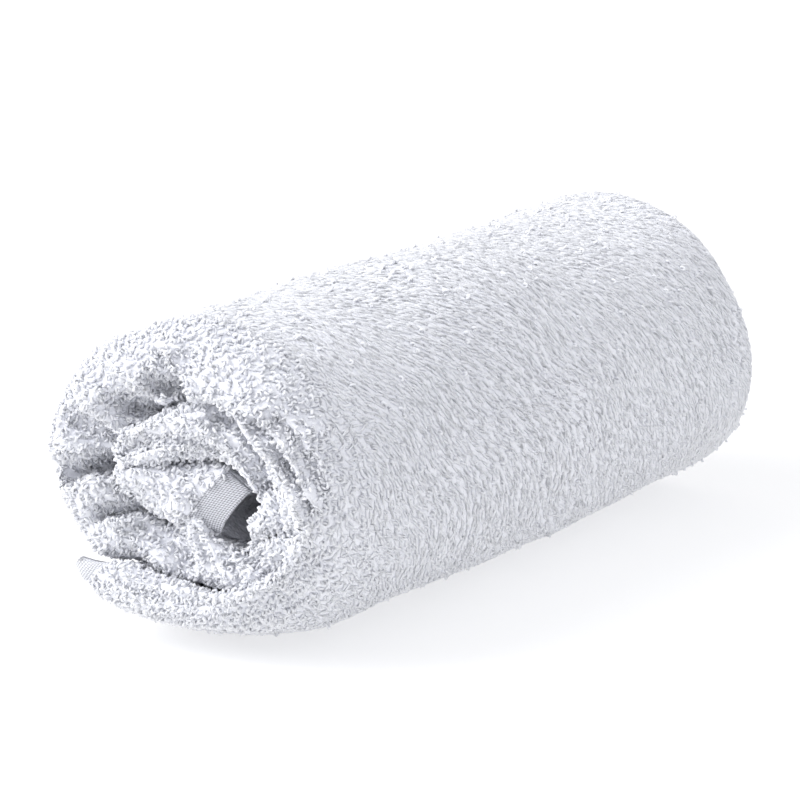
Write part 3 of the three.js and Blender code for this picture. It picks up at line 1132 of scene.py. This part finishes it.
    def standing(self, roots: Roots, rng: np.random.Generator) -> tuple[np.ndarray, np.ndarray]:
        """Loops that stand up as open rings, each turned its own way.

        Args:
            roots: where they stand.
            rng: draws their sizes.

        Returns:
            Six places along each loop's yarn, and the normal of the plane that it lies in.
        """
        root, normal, lay, _ = roots
        count = len(root)
        lift = np.radians(drawn(self.ring_lift, count, rng))
        rise = np.cos(lift) * lay + np.sin(lift) * normal
        side = np.cross(normal, lay)
        twist = drawn(self.ring_twist, count, rng)
        arm = np.cos(twist) * side + np.sin(twist) * np.cross(rise, side)
        length = drawn(self.ring_length, count, rng)
        gap = drawn(self.half_gap, count, rng)
        sunk = root - normal * self.rooted
        line = []
        for up, aside in self.ring_places:
            foot = root if up else sunk
            line.append(foot + rise * length * up + arm * gap * aside)
        return np.stack(line, axis=1), np.cross(arm, rise)

    def rings(
        self, line: np.ndarray, flat: np.ndarray, yarn: float, rng: np.random.Generator
    ) -> np.ndarray:
        """The yarn's surface, as points round it.

        Args:
            line: places along every loop.
            flat: the normal of each loop's plane.
            yarn: the yarn's radius.
            rng: draws how thick each loop's yarn is.

        Returns:
            The points: loops, places along the yarn, points round it, X Y Z.
        """
        count, places = line.shape[:2]
        before = np.concatenate([line[:, :1], line[:, :-1]], axis=1)
        after = np.concatenate([line[:, 1:], line[:, -1:]], axis=1)
        tangent = unit(after - before)
        plane = np.repeat(flat[:, None], places, axis=1)
        other = np.cross(tangent, plane)
        thick = yarn * rng.uniform(*self.yarn_spread, (count, 1, 1))
        sides = []
        for side in range(self.yarn_sides):
            turn = 2 * math.pi * side / self.yarn_sides
            sides.append(line + thick * (math.cos(turn) * plane + math.sin(turn) * other))
        rings = np.stack(sides, axis=2)
        rings[..., 2] = np.maximum(rings[..., 2], self.lowest)
        return rings

    def mesh(self, name: str, rings: np.ndarray) -> bpy.types.Object:
        """One piece of the pile.

        Args:
            name: its name.
            rings: loops, places along the yarn, points round it, X Y Z.

        Returns:
            The new object.
        """
        count, places, around = rings.shape[:3]
        per_loop = places * around
        base = np.arange(count)[:, None, None] * per_loop
        spot = np.arange(places - 1)[:, None] * around
        corner = np.arange(around)
        beside = (corner + 1) % around
        sides = [spot + corner, spot + beside, spot + beside + around, spot + corner + around]
        quads = (base + np.stack(sides, axis=-1).reshape(1, -1, 4)).reshape(-1, 4)
        first = base[:, 0] + corner[::-1]
        last = base[:, 0] + per_loop - around + corner
        ends = np.concatenate([first, last])
        mesh = bpy.data.meshes.new(name)
        mesh.vertices.add(count * per_loop)
        mesh.vertices.foreach_set("co", (rings.reshape(-1) * MM).astype(np.float32))
        mesh.loops.add(quads.size + ends.size)
        mesh.loops.foreach_set("vertex_index", np.concatenate([quads.ravel(), ends.ravel()]))
        sizes = np.concatenate([np.full(len(quads), 4), np.full(len(ends), around)])
        mesh.polygons.add(len(sizes))
        mesh.polygons.foreach_set("loop_start", np.concatenate([[0], np.cumsum(sizes)[:-1]]))
        mesh.polygons.foreach_set("use_smooth", np.ones(len(sizes), bool))
        mesh.update(calc_edges=True)
        mesh.validate()
        piece = bpy.data.objects.new(name, mesh)
        bpy.context.scene.collection.objects.link(piece)
        return piece


def linear(colour: str) -> tuple[float, float, float, float]:
    """The linear colour of an sRGB hex value, by the sRGB curve's own numbers."""
    parts = [int(colour[i : i + 2], 16) / 255 for i in (0, 2, 4)]
    return (*(p / 12.92 if p <= 0.04045 else ((p + 0.055) / 1.055) ** 2.4 for p in parts), 1.0)


def per_metre(size: float) -> float:
    """How many times a pattern of a size in millimetres goes into a metre."""
    return 1 / (size * MM)


def set_inputs(node: bpy.types.Node, sources: dict[str | int, object]) -> None:
    """Sets a node's inputs.

    Args:
        node: the node.
        sources: for each input, by its name or number, the output or the value that it takes.
    """
    for name, source in sources.items():
        if isinstance(source, bpy.types.NodeSocket):
            node.id_data.links.new(source, node.inputs[name])
        else:
            node.inputs[name].default_value = source


def add_node(
    tree: bpy.types.NodeTree, kind: str, sources: dict[str | int, object] | None = None, **settings: object
) -> bpy.types.Node:
    """Adds a node.

    Args:
        tree: where it goes.
        kind: its type.
        sources: for each input, the output or the value that it takes.
        settings: properties of the node.

    Returns:
        The node.
    """
    node = tree.nodes.new(kind)
    for name, value in settings.items():
        setattr(node, name, value)
    set_inputs(node, sources or {})
    return node


def new_material(name: str) -> tuple[bpy.types.Material, bpy.types.Node]:
    """Makes a material.

    Args:
        name: its name.

    Returns:
        The material and its shader.
    """
    made = bpy.data.materials.new(name)
    made.use_nodes = True
    return made, made.node_tree.nodes["Principled BSDF"]


@dataclass(frozen=True)
class TerryGround:
    """The cloth under the pile: loosely woven white cotton, rough and matt, seen between the loops.

    cell is the spacing of the gaps between its threads, of which seven go to 10 mm, and relief their
    depth.
    """

    name: str = "cotton_terry_ground"
    colour: str = "f2f3f8"
    roughness: float = 1.0
    cell: float = 10 / 7
    relief: float = 0.6

    def material(self) -> bpy.types.Material:
        """Makes the finish.

        Returns:
            The new material.
        """
        made, shader = new_material(self.name)
        tree = made.node_tree
        place = add_node(tree, "ShaderNodeTexCoord").outputs["Object"]
        cells = add_node(tree, "ShaderNodeTexVoronoi", {"Vector": place, "Scale": per_metre(self.cell)})
        sunk = {"Height": cells.outputs["Distance"], "Distance": self.relief * MM}
        bump = add_node(tree, "ShaderNodeBump", sunk, invert=True)
        look = {
            "Base Color": linear(self.colour),
            "Roughness": self.roughness,
            "Normal": bump.outputs["Normal"],
        }
        set_inputs(shader, look)
        return made


@dataclass(frozen=True)
class TerryLoops:
    """The pile's yarn: soft white cotton, matt with a faint fuzz, letting some light through.

    Its tone changes a little from loop to loop, in patches of which nine go to 10 mm. Single fibres
    are far too fine to show, so the fuzz is drawn as coarse as it needs: 52 to 10 mm.
    """

    name: str = "cotton_terry_loops"
    pale: str = "fafbff"
    dull: str = "eceef7"
    patch: float = 10 / 9
    patch_detail: float = 1.0
    fibre: float = 10 / 52
    fuzz: float = 0.1
    roughness: float = 1.0
    gloss: float = 0.2
    glow_share: float = 0.6
    glow_depth: float = 1.8

    def material(self) -> bpy.types.Material:
        """Makes the finish.

        Returns:
            The new material.
        """
        made, shader = new_material(self.name)
        tree = made.node_tree
        place = add_node(tree, "ShaderNodeTexCoord").outputs["Object"]
        grain = {"Vector": place, "Scale": per_metre(self.patch), "Detail": self.patch_detail}
        patches = add_node(tree, "ShaderNodeTexNoise", grain)
        tones = {"Factor": patches.outputs["Fac"], MIX_A: linear(self.dull), MIX_B: linear(self.pale)}
        tone = add_node(tree, "ShaderNodeMix", tones, data_type="RGBA")
        fibres = add_node(tree, "ShaderNodeTexNoise", {"Vector": place, "Scale": per_metre(self.fibre)})
        raised = {"Height": fibres.outputs["Fac"], "Distance": self.fuzz * MM}
        bump = add_node(tree, "ShaderNodeBump", raised)
        look = {
            "Base Color": tone.outputs[MIX_RESULT],
            "Roughness": self.roughness,
            "Specular IOR Level": self.gloss,
            "Subsurface Weight": self.glow_share,
            "Subsurface Radius": (1.0, 1.0, 1.0),
            "Subsurface Scale": self.glow_depth * MM,
            "Normal": bump.outputs["Normal"],
        }
        set_inputs(shader, look)
        return made


@dataclass(frozen=True)
class WovenHem:
    """The plain hem: flat woven white cotton, whose threads pass over and under each other.

    pitch is the threads' spacing. covered is the share of a thread's height from which it hides what
    lies between the threads, and relief the weave's height. Its own thread and gap colours are darker
    as painted shade, for the hem at the inner end, which lies in the coil's shadow; PALE_HEM keeps the
    cloth's paler colours for the loose end.
    """

    name: str = "shaded_woven_cotton_hem"
    # Darker thread and gap colours: painted shade for the hem inside the coil.
    thread: str = "d6d7dd"
    between: str = "66676d"
    pitch: float = 0.78
    covered: float = 0.35
    relief: float = 0.12
    roughness: float = 0.9
    gloss: float = 0.3

    def threads(self, tree: bpy.types.NodeTree, run: bpy.types.NodeSocket) -> bpy.types.NodeSocket:
        """Threads along one way of the cloth.

        Args:
            tree: the material's nodes.
            run: the distance across the threads, in metres.

        Returns:
            A sine with one half wave for each thread.
        """
        phase = {0: run, 1: math.pi / (self.pitch * MM)}
        turn = add_node(tree, "ShaderNodeMath", phase, operation="MULTIPLY")
        return add_node(tree, "ShaderNodeMath", {0: turn.outputs[0]}, operation="SINE").outputs[0]

    def material(self) -> bpy.types.Material:
        """Makes the finish.

        Returns:
            The new material.
        """
        made, shader = new_material(self.name)
        tree = made.node_tree
        place = add_node(tree, "ShaderNodeUVMap", uv_map=CLOTH_UV)
        parts = add_node(tree, "ShaderNodeSeparateXYZ", {"Vector": place.outputs["UV"]})
        warp = self.threads(tree, parts.outputs["X"])
        weft = self.threads(tree, parts.outputs["Y"])
        over = add_node(tree, "ShaderNodeMath", {0: warp, 1: weft}, operation="MULTIPLY").outputs[0]
        cover = add_node(tree, "ShaderNodeMath", {0: over}, operation="ABSOLUTE").outputs[0]
        share = add_node(tree, "ShaderNodeMapRange", {"Value": cover, "From Max": self.covered})
        tones = {
            "Factor": share.outputs["Result"],
            MIX_A: linear(self.between),
            MIX_B: linear(self.thread),
        }
        tone = add_node(tree, "ShaderNodeMix", tones, data_type="RGBA")
        raised = add_node(tree, "ShaderNodeMath", {0: over, 1: 0.5, 2: 0.5}, operation="MULTIPLY_ADD")
        height = add_node(tree, "ShaderNodeMath", {0: raised.outputs[0], 1: cover}, operation="ADD")
        weave = {"Height": height.outputs[0], "Distance": self.relief * MM}
        bump = add_node(tree, "ShaderNodeBump", weave)
        look = {
            "Base Color": tone.outputs[MIX_RESULT],
            "Roughness": self.roughness,
            "Specular IOR Level": self.gloss,
            "Normal": bump.outputs["Normal"],
        }
        set_inputs(shader, look)
        return made


# The loose end's hem, in the cloth's own white, without the painted shade of the inner hem's colours.
PALE_HEM = WovenHem("pale_woven_cotton_hem", thread="ebecf1", between="96979d")


@dataclass(frozen=True)
class PaleFloor:
    """The plain pale floor, with a glow of its own that keeps it near white under the towel."""

    name: str = "pale_floor"
    colour: str = "bebebe"
    roughness: float = 0.9
    glow: float = 0.51

    def material(self) -> bpy.types.Material:
        """Makes the finish.

        Returns:
            The new material.
        """
        made, shader = new_material(self.name)
        look = {
            "Base Color": linear(self.colour),
            "Roughness": self.roughness,
            "Emission Color": (1, 1, 1, 1),
            "Emission Strength": self.glow,
        }
        set_inputs(shader, look)
        return made


class Lamp(NamedTuple):
    """A soft square lamp that faces the towel: where it stands, its side in metres, and its watts."""

    name: str
    place: tuple[float, float, float]
    side: float
    power: float

    def add(self) -> None:
        """Adds the lamp to the scene."""
        bpy.ops.object.light_add(type="AREA", location=self.place)
        lamp = bpy.context.object
        lamp.name = self.name
        lamp.data.size = self.side
        lamp.data.energy = self.power
        lamp.rotation_mode = "QUATERNION"
        lamp.rotation_quaternion = (-Vector(self.place)).to_track_quat("-Z", "Y")


@dataclass
class Studio:
    """Floor, lights and the camera at the photograph's angle.

    The camera stands at an azimuth round the towel from -Y and an elevation above the floor. The
    white surroundings are as bright as sky says, level with the floor and overhead.
    """

    azimuth: float = 36.81
    elevation: float = 15.0
    distance: float = 915.5
    target: tuple[float, float, float] = (-3.60, -7.05, 52.41)
    focal: float = 135.46
    sensor: float = 36.0
    nearest: float = 0.01
    floor_side: float = 12.0
    sky: tuple[float, float] = (0.6, 1.03)
    sky_colour: str = "fafbff"
    lamps: tuple[Lamp, ...] = (
        Lamp("soft_key", (-1.2, -1.5, 1.4), 1.5, 45),
        Lamp("side_fill", (1.6, -0.3, 0.9), 1.5, 2.5),
    )

    def camera(self) -> None:
        """Adds the camera and makes it the scene's own."""
        turn, rise = math.radians(self.azimuth), math.radians(self.elevation)
        back = Vector((math.sin(turn) * math.cos(rise), -math.cos(turn) * math.cos(rise), math.sin(rise)))
        bpy.ops.object.camera_add(location=(Vector(self.target) + back * self.distance) * MM)
        camera = bpy.context.object
        camera.name = "camera"
        camera.rotation_mode = "QUATERNION"
        camera.rotation_quaternion = (-back).to_track_quat("-Z", "Y")
        camera.data.sensor_width = self.sensor
        camera.data.lens = self.focal
        camera.data.clip_start = self.nearest
        bpy.context.scene.camera = camera

    def surroundings(self) -> None:
        """Adds the white surroundings, brighter overhead than beside the floor."""
        world = bpy.data.worlds.new("white_surroundings")
        world.use_nodes = True
        tree = world.node_tree
        place = add_node(tree, "ShaderNodeTexCoord")
        parts = add_node(tree, "ShaderNodeSeparateXYZ", {"Vector": place.outputs["Generated"]})
        level, overhead = self.sky
        bright = {"Value": parts.outputs["Z"], "To Min": level, "To Max": overhead}
        height = add_node(tree, "ShaderNodeMapRange", bright)
        look = {"Color": linear(self.sky_colour), "Strength": height.outputs["Result"]}
        set_inputs(tree.nodes["Background"], look)
        bpy.context.scene.world = world

    def build(self) -> None:
        """Adds the floor, the white surroundings and the lamps."""
        bpy.ops.mesh.primitive_plane_add(size=self.floor_side, location=(0, 0, 0))
        floor = bpy.context.object
        floor.name = "floor"
        floor.data.materials.append(PaleFloor().material())
        self.surroundings()
        for lamp in self.lamps:
            lamp.add()
        bpy.context.scene.view_settings.view_transform = "Standard"


def main() -> None:
    """Builds the looks in order and reports each piece."""
    logging.basicConfig(level=logging.INFO, format="%(name)s: %(message)s")
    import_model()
    bpy.ops.object.select_all(action="DESELECT")
    studio = Studio()
    studio.camera()
    band = TerryBand()
    pieces = [band.build()]
    band.dress(pieces[0])
    pile = TerryPile(band)
    loops = pile.build()
    pile.dress(loops)
    pieces += loops
    for piece in pieces:
        LOG.info("%s: %d faces", piece.name, len(piece.data.polygons))
    studio.build()


if __name__ == "__main__":
    main()
